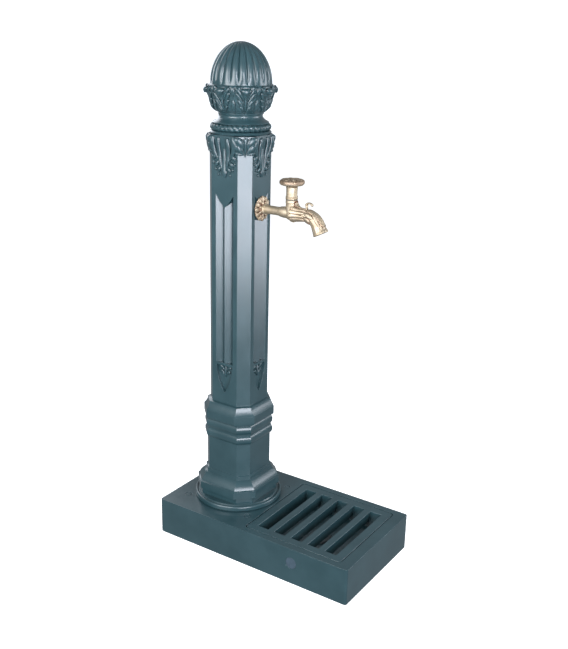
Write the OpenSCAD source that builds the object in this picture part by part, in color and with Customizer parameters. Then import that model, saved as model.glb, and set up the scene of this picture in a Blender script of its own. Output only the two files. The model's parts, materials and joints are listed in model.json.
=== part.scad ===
// Garden drinking fountain: a cast tray with a lift-out grate, a chamfered square column
// with an acorn finial, and a brass wheel-head tap fed by a riser pipe inside the column.
// Millimetres, +Z up. The origin is the middle of the tray's underside and the tap points along +X.

/* [Tray] */
// Length of the tray
tray_l = 536; // [500:1:650]
// Width of the tray
tray_w = 294; // [280:1:360]
// Height of the tray
tray_h = 90; // [84:1:112]
// Radius of the tray's upright corners
tray_corner = 6; // [4:1:12]
// Thickness of the tray's side walls
tray_wall = 6; // [5:0.5:8]
// Thickness of the tray's top plate
tray_top = 8; // [7:0.5:10]
// Depth of the stiffening ribs under the top plate
rib_depth = 36; // [24:1:40]

/* [Grate and sump] */
// Length of the grate, along the tray
grate_l = 258; // [250:1:275]
// Width of the grate, across the tray
grate_w = 256; // [246:1:262]
// Thickness of the grate's border plate
grate_t = 8; // [6:0.5:9]
// Distance from the tray's end to the grate's seat
grate_margin = 28; // [26:1:32]
// Radius of the corners of the grate's seat
seat_corner = 10; // [8:1:16]
// Gap between the grate and its seat, all round
grate_gap = 2; // [1:0.5:3]
// Number of drain slots
slot_n = 5; // [3:1:6]
// Width of one slot
slot_w = 29; // [20:0.5:30]
// Width of a bar between slots, at the top
bar_w = 17.4; // [14:0.2:18]
// Length of the slots
slot_l = 215; // [180:1:216]
// Depth of the bars below the grate's top
web_depth = 30; // [20:1:34]
// Depth of the skirt round the slots
skirt_depth = 44; // [36:1:46]
// Thickness of the skirt
skirt_wall = 5; // [4:0.5:6]
// Thickness of the sump's walls and floor
sump_wall = 6; // [5:0.5:8]
// Room between the skirt and the sump's walls and floor
sump_gap = 6; // [3:0.5:8]

/* [Drain] */
// Radius of the waste fitting's thread
waste_r = 16.6; // [13:0.1:21]
// Radius of the waste fitting's flange
waste_flange_r = 27; // [24:0.5:34]
// Radius of the side outlet's blanking plug
plug_r = 14; // [11.5:0.5:16.5]
// Distance from the grate's middle to the side outlet, along the tray
plug_offset = 12; // [0:1:40]

/* [Column] */
// Distance from the tray's rear end to the column's axis
column_back = 132; // [125:1:142]
// Width of the column's shaft across its flats
column_s = 118; // [98:1:142]
// Leg of the shaft's corner chamfer
chamfer = 23; // [18:1:26]
// Height of the column casting, foot to capital
column_h = 881; // [730:1:1060]
// Radius of the column's inner bore
bore_r = 42; // [38:0.5:43]
// Thickness of the plate that closes the column's top
cap_t = 10; // [8:0.5:14]
// Width of the fluted recess in each face
recess_w = 49; // [40:1:52]
// Depth of the recess's two vee grooves
recess_depth = 12; // [7:0.5:12.5]
// Height of the recess's sill above the column's foot
sill_z = 350; // [346:1:400]
// Height of the recess
recess_h = 402; // [240:1:402]
// Height of the pointed pocket below the sill
pocket_h = 68; // [58:1:70]
// Depth of the pointed pocket
pocket_depth = 7; // [4:0.5:8]

/* [Flange and bolts] */
// Radius of the round flange under the column
flange_r = 108; // [104:1:124]
// Thickness of the flange
flange_t = 12.5; // [10:0.5:16]
// Thickness of the gasket under the flange
gasket_t = 1.5; // [1:0.5:3]
// Distance between the column's bolts, both ways
bolt_pitch = 110; // [106:1:118]
// Radius of the column's bolts
bolt_r = 5; // [4:0.5:6]
// Distance between the ground anchor holes, along the tray
anchor_dx = 182; // [176:1:190]
// Distance between the ground anchor holes, across the tray
anchor_dy = 174; // [166:1:192]
// Radius of the ground anchor holes
anchor_r = 4.5; // [3.5:0.5:5.5]

/* [Finial] */
// Radius of the acorn's dome
dome_r = 69; // [57:0.5:82]
// Height of the dome above its rim
dome_h = 89; // [74:1:107]
// Height of the acorn's cup, rope ring to rim
cup_h = 84; // [76:1:100]
// Height of the rope ring and its fillet
rope_h = 23; // [20:1:27]
// Wall of the hollow finial
finial_wall = 7; // [5:0.5:9]
// Radius of the stud that holds the finial
stud_r = 6; // [5:0.5:8]

/* [Tap] */
// Height of the tap's pipe above the ground
tap_z = 823; // [720:1:900]
// Distance from the column's face to the tap's upright axis
tap_reach = 81; // [66:1:97]
// Outer radius of the tap's pipe
pipe_r = 10; // [8.5:0.1:11.5]
// Radius of the waterway
water_r = 5.5; // [4.5:0.1:6]
// Radius of the wall rosette
rosette_r = 28.5; // [24:0.5:34]
// Radius of the handwheel
wheel_r = 27.5; // [23:0.5:33]
// Radius of the tap's upright barrel
barrel_r = 13.2; // [12.8:0.1:15]
// Radius of the spout's mouth
mouth_r = 15; // [13.4:0.1:18]
// Lift of the valve from shut to full open
valve_lift = 5; // [3:0.5:5]

/* [Riser] */
// Outer radius of the riser pipe
riser_r = 7.5; // [6:0.5:9]
// Wall of the riser pipe
riser_wall = 1; // [0.7:0.1:1.5]
// Radius of the inlet's pipe thread
inlet_r = 10.4; // [9.8:0.1:13]
// Height of the inlet's open end above the ground
inlet_z = 24; // [12:1:30]

/* [Hidden] */
$fn = 48;

green = "#2f4f50";
brass = "#c8a76a";
steel = "#b8bcc0";
rubber = "#26282a";
copper = "#b4764e";
plastic = "#6d7680";

fit = 0.05;             // radial running and thread clearance
loose = 0.5;            // radial clearance of a bolt or pipe in its hole
past = 1;               // how far a cut runs past a face
big = 2000;             // longer than any piece

col_x = column_back - tray_l / 2;
grate_x = tray_l / 2 - grate_margin - grate_gap - grate_l / 2;
half_s = column_s / 2;

// Grate and sump
slots_l = slot_n * slot_w + (slot_n - 1) * bar_w;
skirt_l = slots_l + 2 * skirt_wall;
skirt_w = slot_l + 2 * skirt_wall;
sump_l = skirt_l + sump_gap;
sump_w = skirt_w + sump_gap;
seat_z = tray_h - grate_t;
sump_z = tray_h - skirt_depth - sump_gap;
sump_under = sump_z - sump_wall;
seat_ledge = 6;
web_foot = 11;          // width of a bar at its lower edge

// Waste fitting
waste_gasket_t = 2;
waste_nut_t = 9;
waste_end = 3;          // height of the spigot's open end above the ground

// Side outlet
plug_x = grate_x + plug_offset;
plug_z = sump_z + plug_r - 1;
plug_head_t = 3;
plug_bore_r = plug_r - 3;
plug_boss_r = plug_r + 4;

// Flange stack
flange_z = tray_h + gasket_t;
foot_z = flange_z + flange_t;
top_z = foot_z + column_h;
bolt_head_r = bolt_r * 1.96;
bolt_head_t = bolt_r * 1.28;
bolt_washer_r = bolt_r * 2;
bolt_washer_t = 2;
bolt_depth = 25;
riser_hole_r = 30;
anchor_boss_r = anchor_r + 7.5;
anchor_seat_r = anchor_r + 3.5;
anchor_seat_depth = 12;
cap_below = 0.3;        // the caps sit this far below the tray's top
cap_h = 6;

// Each moulding point: height above the foot, step out from the shaft, growth of the chamfer's leg
moulding = [[0, 21, 5.5], [15, 21, 5.5], [17, 29.5, 15], [35, 29.5, 15], [37, 25.5, 11],
    [42, 23.5, 10], [48, 19.5, 7], [53, 14.5, 4], [56, 11, 2.5], [57, 9, 1.5], [66, 9, 1.5],
    [68, 6, 0.3], [151, 6, 0.3], [154, 9, 1], [159, 11, 2], [167, 11, 2], [171, 9, 1],
    [173, 7.5, 0.8], [177, 7.5, 0.8], [180, 9, 1], [185, 11, 2], [192, 11, 2], [197, 9, 1],
    [199, 7.5, 0.8], [202, 7.5, 0.8], [204, 15, 9], [208, 17, 12], [226, 17, 12],
    [230, 13, 8.5], [238, 7.5, 3], [246, 6, 2], [248, 0, 0]];
// The same for the capital, with heights measured down from the column's top
capital = [[44, 0, 0], [34, 1, 0.3], [24, 3, 1.2], [15, 5, 2.5], [7, 6, 4], [0, 5.5, 6]];

tap_x = col_x + half_s + tap_reach;
face_x = col_x + half_s;

// Valve levels, from the pipe's axis
seat_level = 5;         // top face of the valve seat
seat_t = 4;
bonnet_bottom = 18;
barrel_top = 30;
bonnet_ring_h = 6;
bonnet_top = 59;
stem_r = 4;
guide_r = 7.4;          // hexagon that keeps the valve carrier from turning
collar_r = 7.5;
collar_level = 31;
collar_t = 4;
end_float = 0.2;        // play of the spindle's collar, above and below
shank_r = 5;
washer_t = 3;
thread_r = 9.95;
packing_r = 7.9;
packing_level = 49;
packing_t = 5;

// Spout
waist_x = 36;           // from the tap's upright axis to the waist
waist_r = 12;
bend_r = 38;            // radius of the spout's bend, on its axis
bend_a = 62;            // turn of the spout's bend
nozzle_l = 18;

// Inside of the column
wall_flat = half_s - 14;        // spot face behind the tap, from the column's axis
seal_t = 2.5;
backnut_t = 8;
tail_end = 15;                  // end of the tap's thread, from the column's axis
elbow_out = wall_flat - seal_t - backnut_t - 3;
elbow_drop = 42;
socket_depth = 18;
inlet_l = 46;
rope_r = dome_r - 0.5;
finial_z = top_z;
rim_z = finial_z + rope_h + cup_h;

module rounded_rect(l, w, r) {
    square([l - 2 * r, w], center = true);
    square([l, w - 2 * r], center = true);
    for (sx = [-1, 1], sy = [-1, 1]) translate([sx * (l / 2 - r), sy * (w / 2 - r)]) circle(r);
}

module ring(r_out, r_in, h) {
    difference() {
        cylinder(r = r_out, h = h);
        translate([0, 0, -past]) cylinder(r = r_in, h = h + 2 * past);
    }
}

module hex_ring(r_out, r_in, h) {
    difference() {
        cylinder(r = r_out, h = h, $fn = 6);
        translate([0, 0, -past]) cylinder(r = r_in, h = h + 2 * past);
    }
}

module at_column() { translate([col_x, 0, 0]) children(); }

module at_bolts() { for (sx = [-1, 1], sy = [-1, 1])
    translate([col_x + sx * bolt_pitch / 2, sy * bolt_pitch / 2, 0]) children(); }

module at_anchors() { for (sx = [-1, 1], sy = [-1, 1])
    translate([col_x + sx * anchor_dx / 2, sy * anchor_dy / 2, 0]) children(); }

module along_x() { rotate([0, 90, 0]) children(); }

// The plug's axis runs out of the tray's side, along -Y
module at_plug() { translate([plug_x, -tray_w / 2, plug_z]) rotate([90, 0, 0]) children(); }

module base_tray() {
    rib_y = (anchor_dy - 2 * anchor_r) / 2 - 8;
    color(green) difference() {
        union() {
            difference() {
                linear_extrude(tray_h) rounded_rect(tray_l, tray_w, tray_corner);
                translate([0, 0, -past]) linear_extrude(tray_h - tray_top + past)
                    rounded_rect(tray_l - 2 * tray_wall, tray_w - 2 * tray_wall,
                        tray_corner - tray_wall / 2);
            }
            translate([grate_x - sump_l / 2 - sump_wall, -sump_w / 2 - sump_wall, sump_under])
                cube([sump_l + 2 * sump_wall, sump_w + 2 * sump_wall, tray_h - tray_top - sump_under]);
            translate([grate_x - grate_l / 2 - sump_wall, -grate_w / 2 - sump_wall, seat_z - seat_ledge])
                cube([grate_l + 2 * sump_wall, grate_w + 2 * sump_wall, seat_ledge]);
            at_anchors() cylinder(r = anchor_boss_r, h = tray_h - past);
            for (sy = [-1, 1])
                translate([-tray_l / 2 + past, sy * rib_y - tray_wall / 2, tray_h - tray_top - rib_depth])
                    cube([grate_x - sump_l / 2 + tray_l / 2 - 2 * past, tray_wall, rib_depth]);
            at_plug() translate([0, 0, -(tray_w - sump_w) / 2])
                cylinder(r = plug_boss_r, h = (tray_w - sump_w) / 2 - past);
        }
        translate([grate_x, 0, seat_z]) linear_extrude(grate_t + past)
            rounded_rect(grate_l + 2 * grate_gap, grate_w + 2 * grate_gap, seat_corner);
        translate([grate_x - sump_l / 2, -sump_w / 2, sump_z]) cube([sump_l, sump_w, tray_h]);
        translate([grate_x, 0, sump_under - past]) cylinder(r = waste_r + loose, h = sump_wall + 2 * past);
        at_plug() translate([0, 0, -plug_head_t]) cylinder(r = plug_r + fit, h = plug_head_t + past);
        at_plug() translate([0, 0, -(tray_w - sump_w) / 2 - past])
            cylinder(r = plug_bore_r, h = (tray_w - sump_w) / 2);
        at_column() translate([0, 0, -past]) cylinder(r = riser_hole_r, h = tray_h + 2 * past);
        at_bolts() translate([0, 0, tray_h - tray_top - past])
            cylinder(r = bolt_r + loose, h = tray_top + 2 * past);
        at_anchors() translate([0, 0, -past]) cylinder(r = anchor_r, h = tray_h + 2 * past);
        at_anchors() translate([0, 0, tray_h - anchor_seat_depth])
            cylinder(r = anchor_seat_r, h = anchor_seat_depth + past);
    }
}

module drain_grate() {
    // A bar narrows towards its lower edge
    bar = [[-bar_w / 2, 0], [bar_w / 2, 0], [web_foot / 2, -web_depth], [-web_foot / 2, -web_depth]];
    color(green) translate([grate_x, 0, tray_h]) {
        difference() {
            union() {
                translate([0, 0, -grate_t]) linear_extrude(grate_t)
                    rounded_rect(grate_l, grate_w, seat_corner - grate_gap);
                translate([-skirt_l / 2, -skirt_w / 2, -skirt_depth])
                    cube([skirt_l, skirt_w, skirt_depth - past]);
            }
            translate([-slots_l / 2, -slot_l / 2, -skirt_depth - past])
                cube([slots_l, slot_l, skirt_depth + 2 * past]);
        }
        for (i = [1:slot_n - 1])
            translate([-slots_l / 2 + i * (slot_w + bar_w) - bar_w / 2, 0, 0]) rotate([90, 0, 0])
                linear_extrude(slot_l + 2 * past, center = true) polygon(bar);
    }
}

module waste_body() {
    flange_bottom = sump_z + waste_gasket_t;
    color(steel) translate([grate_x, 0, 0]) difference() {
        union() {
            translate([0, 0, flange_bottom]) cylinder(r1 = waste_flange_r, r2 = waste_flange_r - 2, h = 3);
            translate([0, 0, sump_under - waste_nut_t - 2])
                cylinder(r = waste_r, h = flange_bottom - sump_under + waste_nut_t + 2 + past);
            translate([0, 0, waste_end]) cylinder(r = waste_r - 0.6, h = sump_under - waste_nut_t);
        }
        translate([0, 0, -past]) cylinder(r = waste_r - 3.5, h = flange_bottom + past);
        for (a = [0:60:300]) rotate([0, 0, a]) translate([waste_r * 0.52, 0, flange_bottom - past])
            cylinder(r = 3, h = 5);
        translate([0, 0, flange_bottom - past]) cylinder(r = 3, h = 5);
    }
}

module waste_gasket() {
    color(rubber) translate([grate_x, 0, sump_z]) ring(waste_flange_r - 1, waste_r + loose, waste_gasket_t);
}

module waste_locknut() {
    color(steel) translate([grate_x, 0, sump_under - waste_nut_t])
        hex_ring(waste_flange_r, waste_r + fit, waste_nut_t);
}

module outlet_plug() {
    groove = 1.2;
    color(plastic) at_plug() {
        translate([0, 0, -plug_head_t]) cylinder(r = plug_r, h = plug_head_t - 0.5);
        translate([0, 0, -plug_head_t - 4]) cylinder(r = plug_bore_r - fit, h = 4);
        translate([0, 0, -plug_head_t - 7]) cylinder(r = plug_bore_r - 2 * groove, h = 3);
        translate([0, 0, -plug_head_t - 15]) cylinder(r = plug_bore_r - fit, h = 8);
    }
}

module outlet_seal() {
    color(rubber) at_plug() translate([0, 0, -plug_head_t - 6.8])
        ring(plug_bore_r - fit, plug_bore_r - 2.3, 2.6);
}

module anchor_caps() {
    color(green) at_anchors() translate([0, 0, tray_h - cap_below - cap_h]) {
        cylinder(r = anchor_seat_r - 2 * fit, h = cap_h - 1);
        translate([0, 0, cap_h - 1 - past]) cylinder(r = anchor_seat_r - 1, h = 1 + past);
    }
}

module flange_gasket() {
    color(rubber) difference() {
        at_column() translate([0, 0, tray_h]) ring(flange_r - 4, riser_hole_r, gasket_t);
        at_bolts() translate([0, 0, tray_h - past]) cylinder(r = bolt_r + loose, h = gasket_t + 2 * past);
    }
}

module base_flange() {
    rim = 7;            // width of the rolled rim
    dish = 3;           // depth of the dish inside the rim
    roll = 4;
    outline = [[riser_hole_r, 0], [flange_r - 1, 0], [flange_r, 2], [flange_r, flange_t - roll],
        for (a = [0:15:90]) [flange_r - roll + roll * cos(a), flange_t - roll + roll * sin(a)],
        [flange_r - rim, flange_t - dish], [flange_r - rim - 2, flange_t - dish],
        [flange_r - rim - 5, flange_t], [riser_hole_r, flange_t]];
    color(green) difference() {
        at_column() translate([0, 0, flange_z]) rotate_extrude() polygon(outline);
        at_bolts() translate([0, 0, flange_z - past]) cylinder(r = bolt_r + loose, h = flange_t + 2 * past);
    }
}

module column_bolts() {
    under = tray_h - tray_top - bolt_washer_t;
    color(steel) at_bolts() {
        translate([0, 0, under - bolt_head_t]) cylinder(r = bolt_head_r, h = bolt_head_t, $fn = 6);
        translate([0, 0, under]) cylinder(r = bolt_r, h = foot_z + bolt_depth - under);
    }
}

module column_washers() {
    color(steel) at_bolts() translate([0, 0, tray_h - tray_top - bolt_washer_t])
        ring(bolt_washer_r, bolt_r + fit, bolt_washer_t);
}

function half_at(p) = half_s + p[1];
function diagonal_at(p) = (2 * half_at(p) - chamfer - p[2]) / sqrt(2);

// Levels of the whole column, from its foot
levels = concat(moulding, [for (p = capital) [column_h - p[0], p[1], p[2]]]);
faces_outline = concat([for (p = levels) [half_at(p), p[0]]],
    [for (i = [len(levels) - 1:-1:0]) [-half_at(levels[i]), levels[i][0]]]);
corners_outline = concat([for (p = levels) [diagonal_at(p), p[0]]],
    [for (i = [len(levels) - 1:-1:0]) [-diagonal_at(levels[i]), levels[i][0]]]);

module prism(outline, angle) {
    rotate([90, 0, angle]) linear_extrude(4 * column_s, center = true) polygon(outline);
}

// A mitred solid: the face outline both ways, cut by the corner outline both ways
module column_outside() {
    intersection() {
        prism(faces_outline, 0);
        prism(faces_outline, 90);
        prism(corners_outline, 45);
        prism(corners_outline, 135);
    }
}

// Two vee grooves side by side, their upper end hanging down as a tongue
module recess() {
    w = recess_w / 2;
    ridge = 0.5;
    vees = [[-w, -past], [-w, 0], [-w / 2, recess_depth], [0, ridge],
        [w / 2, recess_depth], [w, 0], [w, -past]];
    tongue = recess_h * 0.075;
    window = [[-w - past, 0], [w + past, 0], [w + past, recess_h], [w / 2, recess_h - tongue * 0.62],
        [0, recess_h - tongue], [-w / 2, recess_h - tongue * 0.62], [-w - past, recess_h]];
    translate([0, -half_s, sill_z]) intersection() {
        linear_extrude(recess_h) polygon(vees);
        rotate([90, 0, 0]) linear_extrude(4 * recess_depth, center = true) polygon(window);
    }
}

// A pointed arch turned upside down, from two arcs
module pocket() {
    half_w = recess_w * 0.46;
    arc = (half_w * half_w + pocket_h * pocket_h) / (2 * half_w);
    lintel = 6;
    translate([0, -half_s, sill_z - lintel]) intersection() {
        translate([half_w - arc, 0, 0]) rotate([90, 0, 0])
            cylinder(r = arc, h = 2 * pocket_depth, center = true, $fn = 96);
        translate([arc - half_w, 0, 0]) rotate([90, 0, 0])
            cylinder(r = arc, h = 2 * pocket_depth, center = true, $fn = 96);
        translate([-half_w, -pocket_depth - past, -pocket_h])
            cube([2 * half_w, 2 * pocket_depth + 2 * past, pocket_h]);
    }
}

module column() {
    tap_level = tap_z - foot_z;
    color(green) at_column() translate([0, 0, foot_z]) difference() {
        union() {
            difference() {
                column_outside();
                for (a = [0:90:270]) rotate([0, 0, a]) {
                    recess();
                    pocket();
                }
            }
            // Round pad that the tap's rosette seats on
            translate([half_s - recess_depth - 2, 0, tap_level]) along_x()
                cylinder(r = rosette_r - 1, h = recess_depth + 2);
        }
        translate([0, 0, -past]) cylinder(r = bore_r, h = column_h - cap_t + past);
        translate([0, 0, column_h - cap_t - past]) cylinder(r = stud_r + loose, h = cap_t + 2 * past);
        translate([0, 0, tap_level]) along_x() cylinder(r = pipe_r + loose, h = column_s);
        translate([0, 0, tap_level]) along_x() cylinder(r = pipe_r * 1.8, h = wall_flat);
        for (sx = [-1, 1], sy = [-1, 1]) translate([sx * bolt_pitch / 2, sy * bolt_pitch / 2, -past])
            cylinder(r = bolt_r + fit, h = bolt_depth + 5 + past);
    }
}

module finial_seal() {
    color(rubber) at_column() translate([0, 0, finial_z]) ring(rope_r - 5, rope_r - finial_wall - 2, 1);
}

// Outer half of the finial, from its seal up to the crown, then back down the inside
function dome_point(a, r, h) = [r * cos(a), rim_z - finial_z + h * sin(a)];
cup = [[rope_r - 2, 1], [rope_r, 3], [rope_r, 6], [rope_r - 3, 8],
    for (a = [-60:20:60]) [rope_r - 7 + 7 * cos(a), 15.5 + 7 * sin(a)],
    [rope_r - 9, rope_h + 1], [rope_r * 0.76, rope_h + cup_h * 0.08],
    [rope_r * 0.705, rope_h + cup_h * 0.16],
    [rope_r * 0.75, rope_h + cup_h * 0.24], [rope_r * 0.84, rope_h + cup_h * 0.32],
    [rope_r * 0.9, rope_h + cup_h * 0.4], [rope_r * 0.955, rope_h + cup_h * 0.51],
    [rope_r * 0.99, rope_h + cup_h * 0.66], [rope_r * 1.03, rope_h + cup_h * 0.78],
    [rope_r * 1.06, rope_h + cup_h * 0.85], [rope_r * 1.045, rope_h + cup_h * 0.93]];
dome = [for (a = [0:6:84]) dome_point(a, dome_r, dome_h)];
post_r = stud_r + 6;
crown = rim_z - finial_z + dome_h;
hollow = [for (a = [78:-6:0]) dome_point(a, dome_r - finial_wall, dome_h - finial_wall)];
neck_r = rope_r * 0.705 - finial_wall;

module finial() {
    outline = concat(cup, dome, [[0, crown], [0, 1], [post_r, 1],
        [post_r, crown - 2 * finial_wall]], hollow,
        [[rope_r - finial_wall, rope_h + cup_h * 0.7], [rope_r * 0.86 - finial_wall, rope_h + cup_h * 0.36],
         [neck_r, rope_h + cup_h * 0.16], [neck_r, rope_h], [rope_r - 2 * finial_wall, 6],
         [rope_r - 2 * finial_wall, 1]]);
    color(green) at_column() translate([0, 0, finial_z]) difference() {
        rotate_extrude($fn = 96) polygon(outline);
        translate([0, 0, 0]) cylinder(r = stud_r + fit, h = 45);
    }
}

module finial_stud() {
    color(steel) at_column() translate([0, 0, finial_z - cap_t - 20]) cylinder(r = stud_r, h = cap_t + 60);
}

module finial_washer() {
    color(steel) at_column() translate([0, 0, finial_z - cap_t - 3]) ring(stud_r * 2.6, stud_r + fit, 3);
}

module finial_nut() {
    color(steel) at_column() translate([0, 0, finial_z - cap_t - 13])
        hex_ring(stud_r * 1.8, stud_r + fit, 10);
}

module tap_rosette() {
    t = 8;
    outline = [[pipe_r + fit, 0], [rosette_r, 0], [rosette_r, 2.5],
        for (a = [15:15:90]) [rosette_r - 16 + 16 * cos(a), 2.5 + (t - 2.5) * sin(a)],
        [pipe_r + 2, t], [pipe_r + fit, t - 1]];
    color(brass) translate([face_x, 0, tap_z]) along_x() rotate_extrude() polygon(outline);
}

// Places children with their Z axis along the spout where it has turned through an angle
module along_spout(turn) {
    translate([waist_x + bend_r * sin(turn), 0, bend_r * cos(turn) - bend_r]) rotate([0, 90 + turn, 0])
        children();
}

module spout_bend(r, turn) {
    translate([waist_x, 0, -bend_r]) rotate([90, 0, 0]) rotate([0, 0, 90 - turn])
        rotate_extrude(angle = turn) translate([bend_r, 0]) circle(r);
}

module tap_body() {
    tail_x = tail_end - half_s - tap_reach;
    base = -barrel_r - 2;
    color(brass) translate([tap_x, 0, tap_z]) difference() {
        union() {
            translate([tail_x, 0, 0]) along_x() cylinder(r = pipe_r, h = -tail_x);
            translate([-barrel_r - 12, 0, 0]) along_x() cylinder(r1 = pipe_r, r2 = barrel_r, h = 12);
            translate([0, 0, base + 5]) cylinder(r = barrel_r, h = barrel_top - base - 5);
            translate([0, 0, base]) cylinder(r1 = barrel_r - 6, r2 = barrel_r, h = 5);
            // Leaf sheath, wide at the barrel and drawn in to the spout's waist
            translate([1, 0, 0]) along_x() cylinder(r1 = barrel_r + 5, r2 = waist_r + 0.8, h = waist_x + 1);
            spout_bend(waist_r, bend_a);
            along_spout(bend_a) translate([0, 0, -bend_r / 3])
                cylinder(r1 = waist_r - 1, r2 = mouth_r, h = bend_r / 3);
            along_spout(bend_a) cylinder(r = mouth_r, h = nozzle_l);
        }
        translate([tail_x - past, 0, 0]) along_x() cylinder(r = water_r, h = -tail_x + past);
        translate([0, 0, base + 5]) cylinder(r = water_r + 2.5, h = seat_level - seat_t - base - 5);
        translate([0, 0, seat_level - seat_t - past]) cylinder(r = water_r, h = seat_t + 2 * past);
        translate([0, 0, seat_level]) cylinder(r = thread_r - 0.9, h = bonnet_bottom - seat_level + past);
        translate([0, 0, bonnet_bottom])
            cylinder(r = thread_r + fit, h = barrel_top - bonnet_bottom + past);
        // Outlet from above the seat down to the waist
        translate([0, 0, seat_level + water_r]) rotate([0, 90 + atan((seat_level + water_r) / waist_x), 0])
            cylinder(r = water_r - 1, h = norm([waist_x, seat_level + water_r]) + 3);
        spout_bend(water_r, bend_a);
        along_spout(bend_a) translate([0, 0, -2 * past])
            cylinder(r1 = water_r + 0.7, r2 = mouth_r - 2.5, h = nozzle_l + 3 * past);
    }
}

module tap_seal() {
    color(rubber) at_column() translate([wall_flat - seal_t, 0, tap_z]) along_x()
        ring(pipe_r * 1.65, pipe_r + fit, seal_t);
}

module tap_backnut() {
    color(brass) at_column() translate([wall_flat - seal_t - backnut_t, 0, tap_z]) along_x()
        hex_ring(pipe_r * 1.6, pipe_r + fit, backnut_t);
}

module at_tap(level) { translate([tap_x, 0, tap_z + level]) children(); }

module bonnet_washer() {
    color(rubber) at_tap(barrel_top) ring(barrel_r - 0.4, thread_r + fit, 1.5);
}

module bonnet() {
    skirt = barrel_top + 1.5;
    color(brass) at_tap(0) difference() {
        union() {
            translate([0, 0, bonnet_bottom]) cylinder(r = thread_r, h = skirt - bonnet_bottom);
            translate([0, 0, skirt]) cylinder(r = barrel_r + 0.4, h = bonnet_ring_h);
            translate([0, 0, skirt + bonnet_ring_h - past]) cylinder(r = barrel_r - 0.7,
                h = bonnet_top - skirt - bonnet_ring_h + past);
        }
        translate([0, 0, bonnet_bottom - past])
            cylinder(r = guide_r + 2 * fit, h = collar_level - bonnet_bottom + past, $fn = 6);
        translate([0, 0, collar_level - end_float])
            cylinder(r = collar_r + fit, h = collar_t + 2 * end_float);
        translate([0, 0, collar_level]) cylinder(r = shank_r + fit, h = bonnet_top);
        translate([0, 0, packing_level]) cylinder(r = packing_r + fit, h = bonnet_top);
    }
}

module gland_packing() {
    color(plastic) at_tap(packing_level) ring(packing_r, shank_r + fit, packing_t);
}

module gland_nut() {
    color(brass) at_tap(packing_level + packing_t)
        ring(packing_r, shank_r + fit, bonnet_top - packing_level - packing_t - 0.5);
}

module spindle() {
    color(brass) at_tap(0) difference() {
        union() {
            translate([0, 0, collar_level]) cylinder(r = collar_r, h = collar_t);
            translate([0, 0, collar_level]) cylinder(r = shank_r, h = bonnet_top + 2 - collar_level);
            translate([0, 0, bonnet_top]) cylinder(r = stem_r, h = 11);
        }
        translate([0, 0, collar_level - past]) cylinder(r = stem_r + fit, h = 15 + past);
        translate([0, 0, bonnet_top + 4]) cylinder(r = 1.5 + fit, h = 10);
    }
}

module handwheel() {
    // Half section: hub, domed web and rounded rim
    under = 1.5;
    outline = [[stem_r + fit, 2 + under], [8, 2 + under], [10, 1 + under], [wheel_r - 5, 4 + under],
        for (a = [-90:30:90]) [wheel_r - 3.2 + 3.2 * cos(a), 7.7 + under + 3.2 * sin(a)],
        [wheel_r - 10, 13.5 + under], [10, 15.2 + under], [5, 15.6 + under],
        [5, 11], [stem_r + fit, 11]];
    color(brass) at_tap(bonnet_top) rotate_extrude() polygon(outline);
}

module handwheel_screw() {
    color(brass) at_tap(bonnet_top + 11) {
        cylinder(r1 = 4.8, r2 = 3.4, h = 6.5);
        translate([0, 0, -6]) cylinder(r = 1.5, h = 6 + past);
    }
}

module valve_carrier() {
    plate = seat_level + washer_t;
    color(brass) at_tap(0) {
        translate([0, 0, plate]) cylinder(r = thread_r - 2, h = 3);
        translate([0, 0, plate]) cylinder(r = stem_r, h = 39 - plate);
        translate([0, 0, 20]) cylinder(r = guide_r, h = 5, $fn = 6);
        translate([0, 0, seat_level - 2]) cylinder(r = 2, h = washer_t + 2 + past);
    }
}

module valve_washer() {
    color(rubber) at_tap(seat_level) ring(thread_r - 2.4, 2 + fit, washer_t);
}

module valve_nut() {
    color(brass) at_tap(seat_level - 2.4) hex_ring(4, 2 + fit, 2.2);
}

module riser_elbow() {
    color(brass) at_column() translate([0, 0, tap_z]) difference() {
        union() {
            translate([-pipe_r - 2, 0, 0]) along_x() cylinder(r = pipe_r + 3, h = elbow_out + pipe_r + 2);
            translate([0, 0, -elbow_drop]) cylinder(r = riser_r + 4, h = elbow_drop);
        }
        translate([tail_end - 0.5, 0, 0]) along_x() cylinder(r = pipe_r + fit, h = big);
        along_x() cylinder(r = water_r, h = tail_end);
        translate([0, 0, -elbow_drop]) cylinder(r = water_r, h = elbow_drop);
        translate([0, 0, -elbow_drop - past]) cylinder(r = riser_r + fit, h = socket_depth + past);
    }
}

riser_top = tap_z - elbow_drop + socket_depth;
inlet_top = inlet_z + inlet_l;
nut_h = 12;
spacer_low_gap = 286;   // from the inlet nut up to the lower spacer
spacer_top_gap = 31;    // from the elbow's nut down to the foot of the upper spacer
spacer_levels = [inlet_top + nut_h + spacer_low_gap, tap_z - elbow_drop - nut_h - spacer_top_gap];

module riser_nut() {
    color(brass) at_column() translate([0, 0, tap_z - elbow_drop - nut_h])
        hex_ring(riser_r + 6, riser_r + fit, nut_h);
}

module riser_pipe() {
    bottom = inlet_top - socket_depth;
    color(copper) at_column() translate([0, 0, bottom])
        ring(riser_r, riser_r - riser_wall, riser_top - bottom);
}

// Three-armed spacers that keep the pipe in the middle of the column's bore
module riser_spacers() {
    arm = 5;
    color(plastic) at_column() for (z = spacer_levels) translate([0, 0, z])
        linear_extrude(12) difference() {
            union() {
                circle(riser_r + 4);
                for (a = [60:120:300]) rotate(a) translate([0, -arm / 2]) square([bore_r - 0.3, arm]);
            }
            circle(riser_r + fit);
        }
}

module inlet_nut() {
    color(brass) at_column() translate([0, 0, inlet_top]) hex_ring(riser_r + 6, riser_r + fit, nut_h);
}

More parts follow.
